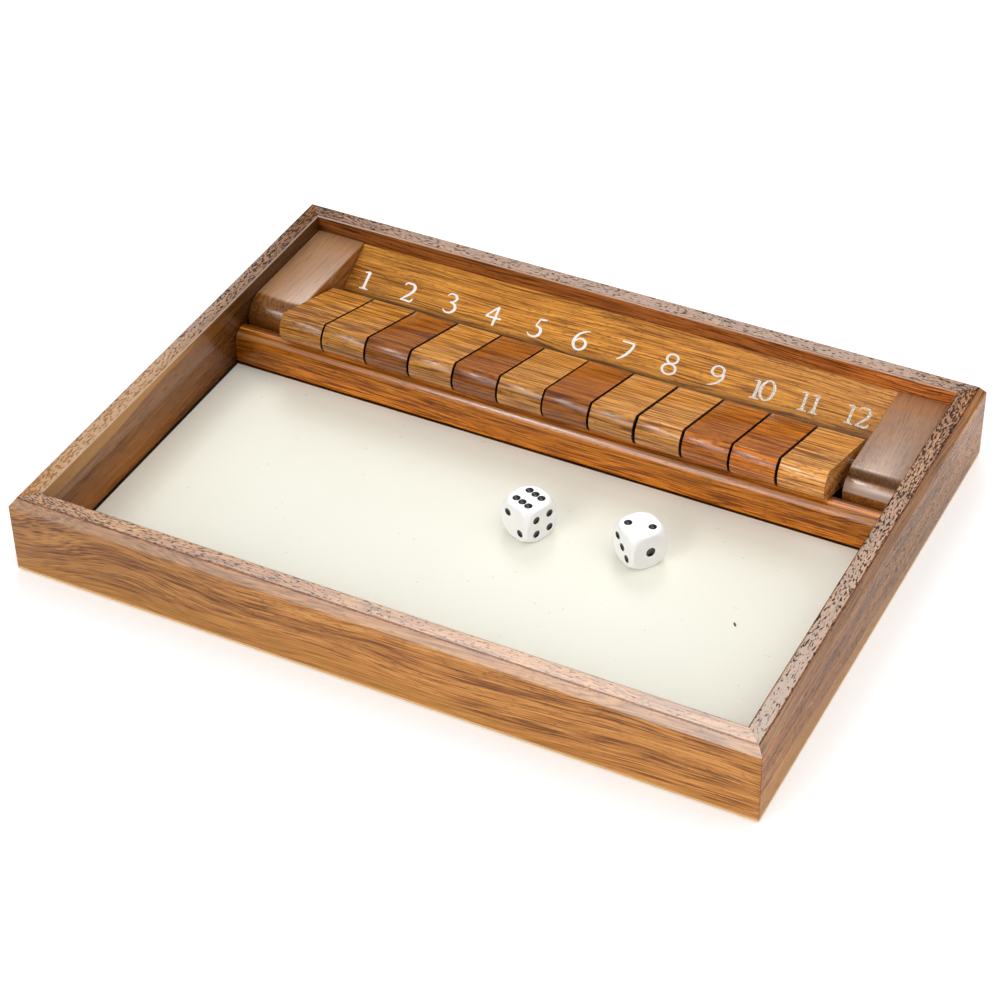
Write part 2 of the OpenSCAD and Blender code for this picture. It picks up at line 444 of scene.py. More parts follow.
def wood_skin(
    name, node, middle, heart, grain=ALONG_X, tilt=0.0, ring_width=7.0, wander=14.0,
    rings=0.65, streaks=1.05, pores=1.0, swirl=(0.0, 0.0), varnish=0.3,
):
    material, tree, skin = new_skin(name)
    wood = add_node(
        tree, "ShaderNodeGroup",
        {"Vector": grain_place(tree, node, grain, heart, tilt),
         "Dark": toned(middle, *DARK_TONE), "Middle": toned(middle),
         "Light": toned(middle, *LIGHT_TONE), "Ring Width": ring_width, "Wander": wander,
         "Ring Contrast": rings, "Streak Contrast": streaks, "Pores": pores,
         "Swirl Place": swirl[0], "Swirl Size": swirl[1]},
        node_tree=wood_group,
    )
    connect_skin(
        skin, wood.outputs["Color"], wood.outputs["Roughness"], wood.outputs["Height"],
        PIT_DEPTH,
    )
    skin.inputs["Specular IOR Level"].default_value = WOOD_SPECULAR
    skin.inputs["Coat Weight"].default_value = varnish
    skin.inputs["Coat Roughness"].default_value = VARNISH_ROUGHNESS
    return material


# %% [markdown]
# The woods, in linear light, and what lies over them: pale veils that paint sheen, a
# painted arris highlight, sapwood and bare wood.

# %% Colours of the wood
GOLDEN = (0.52, 0.207, 0.047)
RED_BROWN = (0.355, 0.112, 0.024)
BROWN = (0.29, 0.106, 0.022)
DUSKY = (0.42, 0.160, 0.040)
HONEY = (0.68, 0.265, 0.036)
CHESTNUT = (0.41, 0.112, 0.008)
RAIL_WOOD = (0.45, 0.135, 0.009)
BLOCK_WOOD = (0.33, 0.115, 0.018)
BOARD_WOOD = (0.62, 0.245, 0.032)
PALE_SHEEN = (0.52, 0.38, 0.29, 1.0)
PAINTED_ARRIS_HIGHLIGHT = (0.74, 0.60, 0.48, 1.0)
SILVER_SHEEN = (0.54, 0.42, 0.34, 1.0)
WARM_SHEEN = (0.50, 0.34, 0.22, 1.0)
SAWN = (0.80, 0.50, 0.22, 1.0)
SAPWOOD = (0.60, 0.28, 0.062, 1.0)

# %% [markdown]
# The edge of the tray shows how it was finished. A pale veil on the top and the slope
# beside it is painted sheen. A dark line on the arris between those two is painted shade,
# and so is one on the inner arris of the front wall. Stain has gathered down the outer
# corners, and the foot was sawn last, so it is bare. One group paints all of this from
# the distance to the outer face and the height.

# %% Tray edge sizes
HALF_X = cad_bounds[1][0] / MM
HALF_Y = cad_bounds[1][1] / MM
RIM_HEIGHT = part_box("frame_front")[1][2] / MM
SLOPE_W = 3.0
SLOPE_H = 4.0
WALL_T = 10.75
DARK_LINE_W = 0.33
DARK_LINE_RAGGED = 0.9
SHADE_AND_STAIN_DEPTH = 0.8
SHADE_AND_STAIN_POWERS = (0.6, 1.15, 2.0)
CORNER_STAIN = 0.45
INNER_EDGE_SHADE = 0.6
FOOT_H = 2.7
FOOT_RAGGED = 0.8
DULL_STEP = 0.4
LINE_BLUR = 0.15
EDGE_BLUR = 0.1
SHEEN_FOOT = (RIM_HEIGHT - SLOPE_H - 0.1, RIM_HEIGHT - SLOPE_H + 0.2)
SHEEN_END = (WALL_T - 1.0, WALL_T - 0.6)
NEAR_TOP = (RIM_HEIGHT - 1.0, RIM_HEIGHT - 0.7)
INNER_LINE = (WALL_T - 0.75, WALL_T - 0.45)
print("rim:", round(RIM_HEIGHT, 2), "mm high")

# %% [markdown]
# The Slope input says how much of the top's painted sheen the slope has. The darkening,
# painted shade on the arrises and stain at the corners, takes blue away first and red
# last, so its line is a reddish brown.

# %% Tray edge group
EDGE_INPUTS = ("Roughness", "Hollow", "Painted Sheen", "Slope", "Shade And Stain", "Inner Shade")


# Painted sheen: a pale veil over the top and the slope stands in for the reflection of the soft
# box behind.
def cloud_share(given, inward, height):
    upper = smooth_step(height, *SHEEN_FOOT)
    outer = smooth_step(inward, *SHEEN_END, 1.0, 0.0)
    sound = minus(1.0, given["Hollow"])
    on_top = smooth_step(inward, SLOPE_W - 0.2, SLOPE_W)
    less = product(minus(1.0, on_top), given["Slope"])
    return product(upper, outer, given["Painted Sheen"], sound, maths("ADD", less, on_top))


# Painted shade: a dark line on the arris between the top and the slope, and on the inner arris
# of the front wall. The outer corners get real stain.
def stain_share(given, inward, corner, height, ragged):
    width = scaled(ragged, DARK_LINE_RAGGED, DARK_LINE_W - DARK_LINE_RAGGED / 2)
    off = maths("ABSOLUTE", minus(inward, SLOPE_W - 0.05))
    line = smooth_step(minus(off, width), -LINE_BLUR, LINE_BLUR, 1.0, 0.0)
    near_top = smooth_step(height, *NEAR_TOP)
    line = product(line, near_top)
    upright = smooth_step(minus(corner, width), -EDGE_BLUR, EDGE_BLUR, CORNER_STAIN, 0.0)
    inner = smooth_step(inward, *INNER_LINE, 0.0, INNER_EDGE_SHADE)
    inner = product(inner, near_top, given["Inner Shade"])
    shade_and_stain = maths("MAXIMUM", maths("MAXIMUM", line, upright), inner)
    return product(shade_and_stain, given["Shade And Stain"])


def build_edge_group():
    tree = bpy.data.node_groups.new("tray_edge", "ShaderNodeTree")
    given = group_sockets(tree, ("Color", "Sheen Colour", "Sawn"), EDGE_INPUTS, ("Roughness",))
    parts = axes(given["Vector"])
    from_x = minus(HALF_X, maths("ABSOLUTE", parts["X"]))
    from_y = minus(HALF_Y, maths("ABSOLUTE", parts["Y"]))
    inward = maths("MINIMUM", from_x, from_y)
    corner = maths("MAXIMUM", from_x, from_y)
    ragged = noise_at(given["Vector"], (0.9, 0.9, 0.9), 3.0, 0.7)
    painted_sheen = cloud_share(given, inward, parts["Z"])
    colour = blend_colour(painted_sheen, given["Color"], given["Sheen Colour"])

    shade_and_stain = stain_share(given, inward, corner, parts["Z"], ragged)
    shade = scaled(shade_and_stain, -SHADE_AND_STAIN_DEPTH, 1.0)
    shades = [maths("POWER", shade, power) for power in SHADE_AND_STAIN_POWERS]
    darkened = add_node(tree, "ShaderNodeCombineColor", dict(enumerate(shades)))
    colour = blend_colour(1.0, colour, darkened.outputs[0], "MULTIPLY")

    foot_edge = scaled(ragged, FOOT_RAGGED, FOOT_H - FOOT_RAGGED / 2)
    foot = smooth_step(minus(parts["Z"], foot_edge), -EDGE_BLUR, EDGE_BLUR, 1.0, 0.0)
    colour = blend_colour(foot, colour, given["Sawn"])
    roughness = scaled(maths("MAXIMUM", shade_and_stain, foot), DULL_STEP, given["Roughness"])
    add_node(tree, "NodeGroupOutput", {"Color": colour, "Roughness": roughness})
    return tree


edge_group = build_edge_group()
print("tray edge group nodes:", len(edge_group.nodes))

# %% [markdown]
# Pits, gloss, painted sheen and painted light and shade change along a board and up its
# side. A ramp holds such a change.

# %% Ramps
def ramp_along(value, stretches):
    """Stretches are (place in mm, value there) in rising order, joined smoothly."""
    total = stretches[0][1]
    for (start, before), (end, after) in zip(stretches, stretches[1:]):
        step = smooth_step(value, start, end, 0.0, after - before)
        total = maths("ADD", step, total)
    return total


def shade_by_place(colour, parts, tones):
    """Each tone is an axis and its stretches; the colour is multiplied by them."""
    for axis, stretches in tones:
        colour = darken(colour, ramp_along(parts[axis], stretches))
    return colour


def open_wood(material):
    """The tree of a wood skin, its Principled node and its wood group."""
    tree = material.node_tree
    wood = next(n for n in tree.nodes if n.type == "GROUP")
    return tree, tree.nodes["Principled BSDF"], wood


# %% [markdown]
# Open pores lie as pits under the varnish of the flat top, most of all at the back left
# corner. A paler band follows a line that rises or falls along the board: sapwood on the
# left wall, a paler tint low on the front, and painted light low on the right wall. A
# painted highlight lies along the inner arris of the back and left walls.

# %% Wall finish
LEVEL_TOP = (RIM_HEIGHT - 0.35, RIM_HEIGHT - 0.1)
DENT_SHADE = 0.45
EDGE_SHADE_AND_STAIN = 0.85
BAND_WOBBLE = 3.0
BAND_BLUR = 0.7
ARRIS_HIGHLIGHT_W = 0.9


def blend_band(colour, place, parts, axis, band):
    """The shares are how much of the tint lies under the line and above it."""
    line = minus(ramp_along(parts[axis], band["line"]), BAND_WOBBLE / 2)
    wobble = noise_at(place, (0.04, 0.04, 0.9), 3.0, 0.6)
    line = scaled(wobble, BAND_WOBBLE, line)
    above = minus(parts["Z"], line)
    share = smooth_step(above, -BAND_BLUR, BAND_BLUR, *band["shares"])
    fade = smooth_step(parts[axis], *band["fade"], 1.0, 0.0)
    tinted = blend_colour(band["strength"], colour, band["tint"])
    return blend_colour(product(share, fade), colour, tinted)


def finish_wall(
    material, axis, pitted, painted_sheen, slope=0.4, band=None, tones=(), inner_shade=0.0,
    gloss=None, sheen_colour=PALE_SHEEN, arris_highlight=None,
):
    tree, skin, wood = open_wood(material)
    place = millimetres(tree)
    parts = axes(place)
    level = smooth_step(parts["Z"], *LEVEL_TOP)
    pits = product(level, ramp_along(parts[axis], pitted))
    tree.links.new(pits, wood.inputs["Pits"])
    colour = shade_by_place(wood.outputs["Color"], parts, tones)
    colour = blend_colour(level, colour, wood.outputs["Color"])
    if band:
        colour = blend_band(colour, place, parts, axis, band)
    colour = darken(colour, scaled(wood.outputs["Hollow"], -DENT_SHADE, 1.0))
    if gloss:
        tree.links.new(ramp_along(parts["Z"], gloss), skin.inputs["Coat Weight"])
    # The edge group paints the sheen, the arris shade and the corner stain.
    edge = add_node(
        tree, "ShaderNodeGroup",
        {"Vector": place, "Color": colour, "Roughness": wood.outputs["Roughness"],
         "Hollow": wood.outputs["Hollow"], "Sheen Colour": sheen_colour, "Sawn": SAWN,
         "Painted Sheen": ramp_along(parts[axis], painted_sheen), "Slope": slope,
         "Shade And Stain": EDGE_SHADE_AND_STAIN, "Inner Shade": inner_shade},
        node_tree=edge_group,
    )
    colour = edge.outputs["Color"]
    # Painted highlight along the inner arris of the back and left walls.
    if arris_highlight:
        share = smooth_step(parts["Z"], RIM_HEIGHT - ARRIS_HIGHLIGHT_W, RIM_HEIGHT - ARRIS_HIGHLIGHT_W / 2)
        share = product(share, ramp_along(parts[arris_highlight[0]], arris_highlight[1]))
        colour = blend_colour(share, colour, PAINTED_ARRIS_HIGHLIGHT)
    tree.links.new(colour, skin.inputs["Base Color"])
    tree.links.new(edge.outputs["Roughness"], skin.inputs["Roughness"])


# %% [markdown]
# Sanding eases every arris of a machined stick. So each wooden node gets a dressed copy:
# its loose triangles are merged, flat ones are dissolved into one face, and a Bevel
# modifier rounds the edges that its weights pick. A mitre stays sharp, as it is glued.

# %% Merge a node's triangles
BOX_BODY = "box"
MERGE_GAP = 0.000001
FLAT_ANGLE = math.radians(0.5)
SMOOTH_ANGLE = math.radians(28)


def pick(piece):
    bpy.ops.object.select_all(action="DESELECT")
    bpy.context.view_layer.objects.active = piece
    piece.select_set(True)


def merged_copy(node, name):
    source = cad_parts[node]
    piece = source.copy()
    piece.data = source.data.copy()
    piece.name = name
    piece.parent = None
    bpy.context.scene.collection.objects.link(piece)
    pick(piece)
    bpy.ops.object.mode_set(mode="EDIT")
    bpy.ops.mesh.select_all(action="SELECT")
    bpy.ops.mesh.remove_doubles(threshold=MERGE_GAP)
    bpy.ops.mesh.dissolve_limited(angle_limit=FLAT_ANGLE)
    bpy.ops.object.mode_set(mode="OBJECT")
    return piece


# %% [markdown]
# A wall's arrises are eased a little, the outer corners less, and the foot in full.

# %% Weigh the edges
SHARP_ANGLE = math.radians(25)
NEAR = 0.02 * MM
MITRE_OFFSET = HALF_X - HALF_Y
ARRIS_WEIGHT = 0.3
CORNER_WEIGHT = 0.2


def on_mitre(point):
    return abs(abs(point.x) - abs(point.y) - MITRE_OFFSET * MM) < NEAR


def weigh_edges(piece, mitred):
    """Weight 1 on sharp edges; on a mitred wall, less, and 1 only along the foot."""
    mesh = piece.data
    faces_at = {}
    for face in mesh.polygons:
        for key in face.edge_keys:
            faces_at.setdefault(key, []).append(face.normal.copy())
    weights = mesh.attributes.new("bevel_weight_edge", "FLOAT", "EDGE")
    outer = max(abs(v.co.x) for v in mesh.vertices) - NEAR
    front = max(abs(v.co.y) for v in mesh.vertices) - NEAR
    count = 0
    for edge in mesh.edges:
        normals = faces_at[edge.key]
        if len(normals) < 2 or normals[0].angle(normals[1]) < SHARP_ANGLE:
            continue
        ends = [mesh.vertices[i].co for i in edge.vertices]
        weight = 1.0
        if mitred:
            low = all(end.z < FOOT_H * MM for end in ends)
            outside = all(abs(e.x) > outer for e in ends) or all(abs(e.y) > front for e in ends)
            weight = 1.0 if low and outside else ARRIS_WEIGHT
        if mitred and all(on_mitre(end) for end in ends):
            upright = abs(ends[0].z - ends[1].z) > abs(ends[0].x - ends[1].x)
            weight = CORNER_WEIGHT if upright and outside else 0.0
        weights.data[edge.index].value = weight
        count += weight > 0.0
    return count


# %% [markdown]
# The dressed copy rides on a body, takes its node's place and goes into a slot.

# %% Dress a wooden node
EASE_SEGMENTS = 3


def ease(piece, width_mm, mitred):
    count = weigh_edges(piece, mitred)
    bevel = piece.modifiers.new("ease", "BEVEL")
    bevel.width = width_mm * MM
    bevel.segments = EASE_SEGMENTS
    bevel.limit_method = "WEIGHT"
    bpy.ops.object.modifier_apply(modifier="ease")
    bpy.ops.object.shade_smooth_by_angle(angle=SMOOTH_ANGLE)
    return count


def dressed_copy(node, name, material, ease_mm, body=BOX_BODY, mitred=False):
    piece = merged_copy(node, name)
    eased = ease(piece, ease_mm, mitred)
    piece.data.materials.clear()
    piece.data.materials.append(material)
    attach(piece, body)
    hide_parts(node)
    print(name, "eased edges:", eased, "faces:", len(piece.data.polygons))
    return piece


# %% [markdown]
# The four walls are one tray, but four boards: the front is golden, the back and right
# are redder, and the left is a brown one with a strip of sapwood under its top edge.

# %% Cut of the walls
WALL_EASE = 1
WALLS = {
    "front": dict(middle=GOLDEN, tilt=0.06, heart=(40, 49, -95), swirl=(-85, 11),
                  rings=0.55, streaks=0.8, pores=0.7),
    "back": dict(middle=RED_BROWN, heart=(300, 60, 80)),
    "left": dict(middle=BROWN, grain=ALONG_Y, heart=(600, 60, 90), rings=0.25,
                 streaks=0.5),
    "right": dict(middle=DUSKY, grain=ALONG_Y, heart=(900, -70, 70), rings=0.6,
                  streaks=0.9, varnish=0.1),
}
print("walls:", ", ".join(WALLS))

# %% [markdown]
# The finish goes by the place along the board's axis. The left wall darkens towards the
# back, painted shade, and its foot is nearly black where it meets the sheet, a painted
# shadow. The front darkens towards its left end, painted shade too.

# %% Finish of the walls
# The sheen share is how much pale veil paints the sheen on each wall's top.
FINISHES = {
    "front": dict(
        axis="X", pitted=((-175, 0.95), (-60, 0.45), (60, 0.1)),
        painted_sheen=((-175, 0.3), (0, 0.38), (175, 0.42)), inner_shade=1,
        # Painted shade: the front face darkens towards its left end.
        tones=(("X", ((-120, 0.7), (0, 1), (80, 1), (175, 1.02))),),
        gloss=((34, 0.2), (36.3, 1)), slope=1,
        band=dict(line=((-175, 8), (-40, 14), (130, 5)), shares=(1, 0),
                  fade=(150, 175), tint=(0.62, 0.28, 0.055, 1), strength=0.4),
    ),
    "back": dict(
        axis="X", pitted=((-175, 1.3), (-110, 0.5), (120, 0.4), (175, 0.8)),
        painted_sheen=((-175, 0.2), (-100, 0.62), (120, 0.7), (175, 0.45)),
        tones=(("X", ((-175, 0.85), (60, 1.1), (175, 2.3))),),
        arris_highlight=("Y", ((119.6, 0.8), (119.9, 0))),
    ),
    "left": dict(
        axis="Y", pitted=((-130, 1.3), (-70, 0.75), (0, 0.65), (130, 1.3)),
        painted_sheen=((-130, 0.2), (-80, 0.5), (0, 0.6), (70, 0.45), (125, 0.05)),
        band=dict(line=((-130, 32), (-75, 32.4), (-20, 36.5)), shares=(0, 1),
                  fade=(-25, 20), tint=SAPWOOD, strength=0.85),
        # Painted shade towards the back and a painted shadow at the foot, with painted light
        # just above the foot.
        tones=(("Y", ((-60, 1.3), (0, 0.98), (50, 0.36))),
               ("Z", ((5.7, 0.12), (6.6, 1.7), (27, 1)))),
        arris_highlight=("X", ((-164.9, 0), (-164.6, 0.8))),
    ),
    "right": dict(
        axis="Y", pitted=((-130, 0.1), (-30, 0.6), (130, 1.2)),
        painted_sheen=((-130, 0.95), (-30, 0.6), (60, 0.35), (90, 0.2), (125, 0.05)),
        sheen_colour=SILVER_SHEEN,
        # The band low on the right wall is painted light.
        band=dict(line=((-130, 15), (-20, 10), (130, 2)), shares=(1, 0),
                  fade=(-30, 90), tint=(0.66, 0.32, 0.09, 1), strength=0.6),
        # Along the wall it is darker in the middle; painted shade darkens its slope and top.
        tones=(("Y", ((-125, 1.1), (-60, 0.8), (70, 0.8), (110, 1.15))),
               ("Z", ((36, 1), (36.8, 0.75)))),
    ),
}
for side, cut in WALLS.items():
    node = f"frame_{side}"
    skin = wood_skin(f"wall_{side}", node, **cut)
    finish_wall(skin, **FINISHES[side])
    dressed_copy(node, f"wall_{side}", skin, WALL_EASE, mitred=True)


# %% [markdown]
# The rail, the end blocks and the number board are plain sticks of the same wood. A pale
# veil paints the sheen on the level tops of the blocks and a highlight in a strip low on
# the nose of the right one. The noses carry painted shade, and the foot of the rail a
# painted shadow.

# %% Finish of a stick
def finish_stick(material, tones=(), painted_sheen=(), sheen_colour=WARM_SHEEN, gloss=None):
    """Painted sheen goes by the place along the axes it names, and gloss by the height."""
    tree, skin, wood = open_wood(material)
    parts = axes(millimetres(tree))
    colour = shade_by_place(wood.outputs["Color"], parts, tones)
    # The veil paints sheen and highlights.
    if painted_sheen:
        share = product(1, *(ramp_along(parts[a], s) for a, s in painted_sheen))
        colour = blend_colour(share, colour, sheen_colour)
    if gloss:
        tree.links.new(ramp_along(parts["Z"], gloss), skin.inputs["Coat Weight"])
    tree.links.new(colour, skin.inputs["Base Color"])


# %% [markdown]
# The rail is glossy on its round top only. Its colour paints highlights, light and shade
# across that round top and a shadow along its foot, and it is darker at its left end.

# %% Rail
STICK_EASE = 0.3
rail_skin = wood_skin("rail", "front_rail", RAIL_WOOD, heart=(0, 80, 50), streaks=0.9)
finish_stick(
    rail_skin,
    # Painted shadow along the foot, and painted shade and light across the round top.
    tones=(
        ("X", ((-164, 0.7), (-110, 1))), ("Z", ((5.7, 0.1), (6.4, 1.4), (17, 1))),
        ("Y", ((40.2, 1), (41, 0.65), (41.4, 0.65), (42.3, 1.8), (43, 1.8), (44, 0.9))),
    ),
    # The veil paints highlights on the round top.
    painted_sheen=(("Y", ((39, 0), (39.5, 0.3), (40.2, 0.3), (40.7, 0), (42.1, 0),
                  (42.5, 0.2), (43, 0.2), (43.6, 0))),),
    gloss=((18, 0.05), (19.6, 1)),
)
dressed_copy("front_rail", "rail", rail_skin, STICK_EASE)

# %% [markdown]
# The grain of the blocks runs along Y, as in the side walls.

# %% End blocks
BLOCK_EASE = 0.6
HEART_ALONG = {"left": 120, "right": 480}
BLOCKS = {
    # Painted shade on the nose; the veil paints sheen on the top.
    "left": dict(
        tones=(("Y", ((58, 0.58), (60.5, 1))),),
        painted_sheen=(("Y", ((59, 0), (60.8, 0.4), (80, 0.4), (118, 0.42))),
               ("Z", ((31, 0), (31.6, 1)))),
    ),
    # Painted shade on the nose; the veil paints a highlight low on it and sheen on the top.
    "right": dict(
        tones=(("Y", ((53.2, 1), (54.6, 0.3), (56.5, 0.3), (58.6, 0.6), (60.5, 0.85),
                      (75, 0.8), (90, 1))),),
        painted_sheen=(("Y", ((50.45, 0), (50.7, 1), (51.8, 0.95), (53.2, 0.3), (54, 0),
                      (57.5, 0), (60.8, 0.25), (90, 0.3))),),
        sheen_colour=PALE_SHEEN, gloss=((29.3, 1), (30.2, 0.1), (31.3, 0.1), (31.9, 1)),
    ),
}
for side, finish in BLOCKS.items():
    node = f"end_block_{side}"
    block_skin = wood_skin(
        f"block_{side}", node, BLOCK_WOOD, heart=(HEART_ALONG[side], 60, 80),
        grain=ALONG_Y, rings=0.2, streaks=0.55, varnish=0.6,
    )
    finish_stick(block_skin, **finish)
    dressed_copy(node, f"block_{side}", block_skin, BLOCK_EASE)

# %% [markdown]
# The board is darkest where it comes out from under the flaps, painted shade, and a
# little darker towards its ends.

# %% Number board
board_skin = wood_skin(
    "board", "number_board", BOARD_WOOD, heart=(0, 90, 60), tilt=0.01, rings=0.15,
    streaks=0.85,
)
finish_stick(
    board_skin,
    # Painted shade where the board comes out from under the flaps.
    tones=(("Y", ((96.4, 0.3), (98.5, 0.8), (106, 1))),
           ("X", ((-135, 0.82), (-50, 1), (60, 1), (130, 0.9)))),
)
dressed_copy("number_board", "sloped_board", board_skin, STICK_EASE)

# %% [markdown]
# The flaps stand closer together than a coin is thick, and their sides get a near-black
# skin, painted shade, so the gaps are black. Only the outer sides of the first and the
# last flap are left without it. The noses of the low numbers carry painted shade and
# those of the highest a little painted light, and the high numbers are paler, with a
# painted sheen.

# %% Tones of the flaps
DARK_FLAPS = (3, 5, 7, 10, 11)
LAST_FLAP = 12
DARK_START = 0.76
DARK_STEP = 0.035
LIGHT_START = 0.90
LIGHT_STEP = 0.009
SHEEN_STEP = 0.008
SIDE_SHADE = 0.03
NOSE_SHADE = 0.66
NOSE_STEP = 0.17
NOSE_LIMIT = 1.15
LAST_SHADED_NOSE = 8


def flap_tone(number):
    if number in DARK_FLAPS:
        factor = DARK_START + DARK_STEP * number
        return tuple(v * factor for v in CHESTNUT)
    # A painted sheen that grows with the number.
    sheen_share = SHEEN_STEP * number
    factor = LIGHT_START + LIGHT_STEP * number
    return tuple(factor * (v + sheen_share * (w - v)) for v, w in zip(HONEY, PALE_SHEEN))


# Painted shade on the noses of the low numbers, painted light on the highest.
def nose_tone(number):
    return min(NOSE_SHADE + NOSE_STEP * max(number - LAST_SHADED_NOSE, 0), NOSE_LIMIT)


# %% [markdown]
# Each flap is cut from another place in the tree, so no two have the same figure.

# %% Flaps
FLAP_EASE = 0.5
TREE_STEP = 311.0
HEART_R = 85.0
HEART_LIFT = 20.0
TURN_START = 0.5
TURN_STEP = 0.37
TILT = 0.03
TILT_STEP = 2.1
NOSE_Y = 38.5
NOSE_END_Y = 42.5
LEFT_SIDE_X = -0.6
RIGHT_SIDE_X = 0.2
UNSHADED_SIDES = {1: -1.0, LAST_FLAP: 1.0}


def flap_cut(number):
    angle = TURN_START + TURN_STEP * number
    heart = (
        number * TREE_STEP, HEART_R * math.cos(angle),
        HEART_R * abs(math.sin(angle)) + HEART_LIFT,
    )
    tilt = TILT * math.sin(number * TILT_STEP)
    return dict(heart=heart, ring_width=4.0, wander=5.0, tilt=tilt)


def stain_sides(piece, material, unshaded_side):
    """Sides whose normals lean past a limit get painted shade; unshaded_side is the X left out.
    """
    piece.data.materials.append(material)
    found = 0
    for face in piece.data.polygons:
        lean = face.normal.x
        if LEFT_SIDE_X < lean < RIGHT_SIDE_X or lean * unshaded_side > 0.0:
            continue
        face.material_index = 1
        found += 1
    return found


for number in range(1, LAST_FLAP + 1):
    tag = f"{number:02d}"
    node = f"flap_{tag}"
    tone = flap_tone(number)
    cut = flap_cut(number)
    flap_skin = wood_skin(f"flap_wood_{tag}", node, tone, varnish=0.5, **cut)
    # Painted shade or light on the nose.
    nose = ((NOSE_Y, nose_tone(number)), (NOSE_END_Y, 1.0))
    finish_stick(flap_skin, tones=(("Y", nose),))
    # The near-black side skin is painted shade for the gaps.
    dim = tuple(v * SIDE_SHADE for v in tone)
    side_skin = wood_skin(f"flap_side_{tag}", node, dim, varnish=0.0, **cut)
    flap = dressed_copy(
        node, f"dressed_flap_{tag}", flap_skin, FLAP_EASE,
        body=f"flap_body_{tag}",
    )
    print("  stained sides:", stain_sides(flap, side_skin, UNSHADED_SIDES.get(number, 0.0)))


# %% [markdown]
# The playing surface is a stiff sheet with a smooth cream skin: barely grained, with a
# few specks and one dark fleck. By the rail it is painted whiter, painted light against
# the shade there, and a thin whiter line along the left wall is a painted highlight on
# its cut edge. Its cut edge is rounded.

# %% Playing surface
LEATHERETTE = (0.905, 0.905, 0.79, 1.0)
SHEET_PAINTED_LIGHT = (0.95, 0.985, 0.90, 1.0)
PAINTED_LIGHT_BY_RAIL = ((22, 0), (35, 1))
PAINTED_HIGHLIGHT_BY_WALL = ((-163, 1), (-162.4, 0))
SHEET_EASE = 0.3
SHEET_ROUGHNESS = 0.4
SPECK_SHADE = 0.18
SPECK_EDGE = (0.755, 0.79)
MARK_SHADE = 0.97
FLECK_PLACE = (122.6, -31.3, 0.0)
FLECK_HALF = (0.55, 1.5, 100.0)
FLECK_TURN = math.radians(35)
FLECK_EDGE = (0.75, 1.15)


def leatherette_skin(name):
    material, tree, skin = new_skin(name)
    place = millimetres(tree)
    clouds = noise_at(place, (0.02, 0.02, 0.02), 3.0)
    grain = noise_at(place, (1.6, 1.6, 1.6), 2.0)
    specks = smooth_step(noise_at(place, (0.4, 0.4, 0.4), 1.0), *SPECK_EDGE)
    fleck_place = add_node(
        tree, "ShaderNodeMapping",
        {"Vector": place, "Location": FLECK_PLACE, "Rotation": (0.0, 0.0, FLECK_TURN),
         "Scale": FLECK_HALF}, vector_type="TEXTURE",
    ).outputs[0]
    fleck_reach = vector_maths("LENGTH", fleck_place)["Value"]
    fleck = smooth_step(fleck_reach, *FLECK_EDGE, 1.0, 0.0)
    marks = maths("MAXIMUM", product(specks, SPECK_SHADE), fleck)
    parts = axes(place)
    # Painted light by the rail and a painted highlight along the left edge.
    light_by_rail = ramp_along(parts["Y"], PAINTED_LIGHT_BY_RAIL)
    painted_light = maths("MAXIMUM", light_by_rail, ramp_along(parts["X"], PAINTED_HIGHLIGHT_BY_WALL))
    base = blend_colour(painted_light, LEATHERETTE, SHEET_PAINTED_LIGHT)
    shade = product(scaled(clouds, 0.05, 0.97), scaled(marks, -MARK_SHADE, 1.0))
    tinted = darken(base, shade)
    uneven = scaled(grain, 0.15, SHEET_ROUGHNESS)
    connect_skin(skin, tinted, uneven, grain, distance=0.00004, strength=0.6)
    return material


sheet_skin = leatherette_skin("leatherette")
dressed_copy("playing_surface", "leatherette_sheet", sheet_skin, SHEET_EASE)

# %% [markdown]
# The numerals stand along the board in silver white paint. Each is drawn as a few strokes
# that swell and taper like a pen's. A stroke is a curve with a round bevel, and each of
# its points is X, height and weight, in millimetres.

# %% Numeral strokes
RING_POINTS = 12


def ring_stroke(centre_x, centre_h, half_w, half_h, side=0.5, cap=0.33):
    """A closed loop that is heavier at its sides than at its top and bottom."""
    loop = []
    for step in range(RING_POINTS + 1):
        turn = math.tau * step / RING_POINTS
        weight = cap + (side - cap) * math.cos(turn) ** 2
        loop.append((
            centre_x + half_w * math.cos(turn), centre_h + half_h * math.sin(turn), weight,
        ))
    return loop


